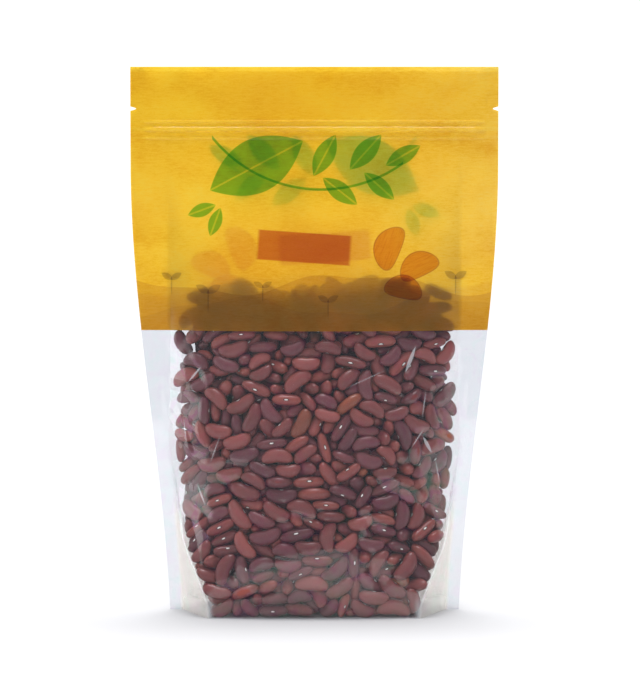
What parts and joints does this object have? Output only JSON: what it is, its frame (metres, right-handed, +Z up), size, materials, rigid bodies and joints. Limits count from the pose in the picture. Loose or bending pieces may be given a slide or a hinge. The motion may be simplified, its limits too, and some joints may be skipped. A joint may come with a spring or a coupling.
{
  "type": "bag of dried beans",
  "caption": "Sealed stand-up pouch of dried kidney beans, with a printed yellow header, a press-to-close zip and a clear window.",
  "frame": {"origin": "middle of the foot, on the surface the pouch stands on", "axes": "+Z up to the top edge of the header, +X across the pouch to the right as seen from the front, the front faces -Y"},
  "size_m": [0.216, 0.0768, 0.32],
  "materials": {
    "pouch": "beans seen through clear film",
    "clear_film": "clear glossy film",
    "printed_film": "satin printed film",
    "beans": "satin seed coat"
  },
  "bodies": {
    "root": {"pouch": "pouch"}
  },
  "joints": []
}
